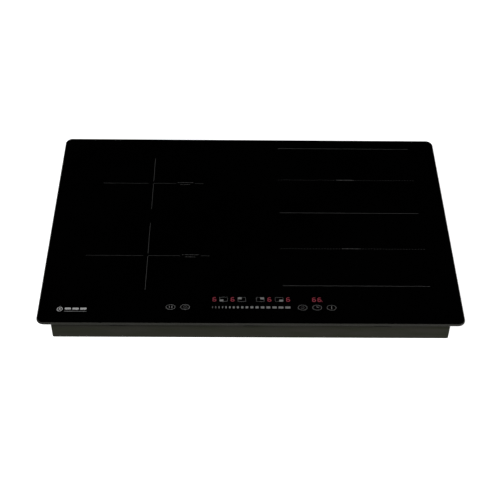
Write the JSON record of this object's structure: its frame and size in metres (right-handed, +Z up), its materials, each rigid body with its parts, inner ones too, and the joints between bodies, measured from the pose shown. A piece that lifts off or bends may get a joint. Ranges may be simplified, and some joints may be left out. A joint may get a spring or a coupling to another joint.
{
  "type": "induction hob",
  "caption": "Built-in induction hob: black glass top with printed zones, touch keys and a slider, over a steel casing with coils, power boards and blowers.",
  "frame": {"origin": "centre of the casing's underside, which is the bottom centre of the whole hob", "axes": "+Z up out of the cooking surface, +X to the user's right, -Y towards the user"},
  "size_m": [0.77, 0.52, 0.056],
  "materials": {
    "glass_ceramic": "polished black glass-ceramic",
    "seal_foam": "closed-cell foam",
    "bond_silicone": "black silicone adhesive",
    "frame_steel": "black-coated sheet steel",
    "casing_steel": "grey-coated sheet steel, satin",
    "screw_steel": "zinc-plated steel",
    "pillar_aluminium": "turned",
    "shelf_aluminium": "rolled sheet",
    "blower_plastic": "moulded, fine grain",
    "rotor_plastic": "moulded",
    "stator_iron": "varnished laminations",
    "peg_nylon": "natural nylon",
    "board_laminate": "green solder mask",
    "sink_aluminium": "extruded, plain",
    "epoxy_black": "moulded epoxy",
    "capacitor_case": "potted case",
    "choke_core": "coated ferrite with copper winding",
    "holder_plastic": "moulded",
    "spring_steel": "nickel-plated spring wire",
    "display_case": "red-tinted epoxy",
    "terminal_plastic": "moulded, flame-retardant",
    "block_plastic": "moulded",
    "gland_plastic": "moulded nylon",
    "lead_insulation": "silicone insulation",
    "ribbon_insulation": "flat cable insulation",
    "carrier_aluminium": "pressed sheet",
    "ferrite": "sintered ferrite",
    "litz_copper": "enamelled copper litz",
    "mica": "pressed mica",
    "bracket_steel": "zinc-plated strip"
  },
  "bodies": {
    "casing": {"blower_housing_left": "blower_plastic", "blower_housing_right": "blower_plastic", "blower_stators": "stator_iron", "board_pegs": "peg_nylon", "bond_bead": "bond_silicone", "bracket_screws": "screw_steel", "cable_gland": "gland_plastic", "casing_screws": "screw_steel", "casing_tray": "casing_steel", "chokes": "choke_core", "coil_shelf_left": "shelf_aluminium", "coil_shelf_right": "shelf_aluminium", "digit_displays": "display_case", "edge_seal": "seal_foam", "film_capacitors": "capacitor_case", "filter_board": "board_laminate", "front_left_coil_springs": "spring_steel", "front_right_coil_springs": "spring_steel", "glass_frame": "frame_steel", "glass_top": "glass_ceramic", "heat_sink_left": "sink_aluminium", "heat_sink_right": "sink_aluminium", "mains_leads": "lead_insulation", "power_board_left": "board_laminate", "power_board_right": "board_laminate", "rear_left_coil_springs": "spring_steel", "rear_right_coil_springs": "spring_steel", "ribbon_cable": "ribbon_insulation", "shelf_pillars": "pillar_aluminium", "shelf_screws": "screw_steel", "terminal_block": "block_plastic", "terminal_box": "terminal_plastic", "touch_board": "board_laminate", "touch_holder": "holder_plastic", "touch_springs": "spring_steel", "transistors": "epoxy_black"},
    "blower_rotor_left": {"blower_rotor_left": "rotor_plastic"},
    "blower_rotor_right": {"blower_rotor_right": "rotor_plastic"},
    "front_left_coil": {"front_left_coil_carrier": "carrier_aluminium", "front_left_coil_ferrites": "ferrite", "front_left_coil_winding": "litz_copper", "front_left_coil_mica": "mica"},
    "rear_left_coil": {"rear_left_coil_carrier": "carrier_aluminium", "rear_left_coil_ferrites": "ferrite", "rear_left_coil_winding": "litz_copper", "rear_left_coil_mica": "mica"},
    "front_right_coil": {"front_right_coil_carrier": "carrier_aluminium", "front_right_coil_ferrites": "ferrite", "front_right_coil_winding": "litz_copper", "front_right_coil_mica": "mica"},
    "rear_right_coil": {"rear_right_coil_carrier": "carrier_aluminium", "rear_right_coil_ferrites": "ferrite", "rear_right_coil_winding": "litz_copper", "rear_right_coil_mica": "mica"},
    "bracket_front_left": {"bracket_front_left": "bracket_steel"},
    "bracket_front_right": {"bracket_front_right": "bracket_steel"},
    "bracket_rear_left": {"bracket_rear_left": "bracket_steel"},
    "bracket_rear_right": {"bracket_rear_right": "bracket_steel"},
    "terminal_lid": {"terminal_lid": "terminal_plastic"}
  },
  "joints": [
    {"name": "rotor_spin_left", "type": "hinge", "parent": "casing", "child": "blower_rotor_left", "pos_m": [-0.008, -0.062, 0.012], "axis": [0, 0, 1], "continuous": true},
    {"name": "rotor_spin_right", "type": "hinge", "parent": "casing", "child": "blower_rotor_right", "pos_m": [-0.008, 0.1, 0.012], "axis": [0, 0, 1], "continuous": true},
    {"name": "front_left_coil_float", "type": "slide", "parent": "casing", "child": "front_left_coil", "axis": [0, 0, 1], "range_m": [-0.003, 0], "stiffness_N_per_m": 3600, "springref_m": 0.004, "deforming": ["front_left_coil_springs"]},
    {"name": "rear_left_coil_float", "type": "slide", "parent": "casing", "child": "rear_left_coil", "axis": [0, 0, 1], "range_m": [-0.003, 0], "stiffness_N_per_m": 3600, "springref_m": 0.004, "deforming": ["rear_left_coil_springs"]},
    {"name": "front_right_coil_float", "type": "slide", "parent": "casing", "child": "front_right_coil", "axis": [0, 0, 1], "range_m": [-0.003, 0], "stiffness_N_per_m": 3600, "springref_m": 0.004, "deforming": ["front_right_coil_springs"]},
    {"name": "rear_right_coil_float", "type": "slide", "parent": "casing", "child": "rear_right_coil", "axis": [0, 0, 1], "range_m": [-0.003, 0], "stiffness_N_per_m": 3600, "springref_m": 0.004, "deforming": ["rear_right_coil_springs"]},
    {"name": "bracket_swivel_front_left", "type": "hinge", "parent": "casing", "child": "bracket_front_left", "pos_m": [-0.3555, -0.174, 0.013], "axis": [0, 0, 1], "range_deg": [0, 90]},
    {"name": "bracket_swivel_front_right", "type": "hinge", "parent": "casing", "child": "bracket_front_right", "pos_m": [0.3555, -0.174, 0.013], "axis": [0, 0, -1], "range_deg": [0, 90]},
    {"name": "bracket_swivel_rear_left", "type": "hinge", "parent": "casing", "child": "bracket_rear_left", "pos_m": [-0.3555, 0.126, 0.013], "axis": [0, 0, 1], "range_deg": [0, 90]},
    {"name": "bracket_swivel_rear_right", "type": "hinge", "parent": "casing", "child": "bracket_rear_right", "pos_m": [0.3555, 0.126, 0.013], "axis": [0, 0, -1], "range_deg": [0, 90]},
    {"name": "terminal_lid_hinge", "type": "hinge", "parent": "casing", "child": "terminal_lid", "pos_m": [-0.292, 0.2403, 0.006], "axis": [-1, 0, 0], "range_deg": [0, 90]}
  ]
}
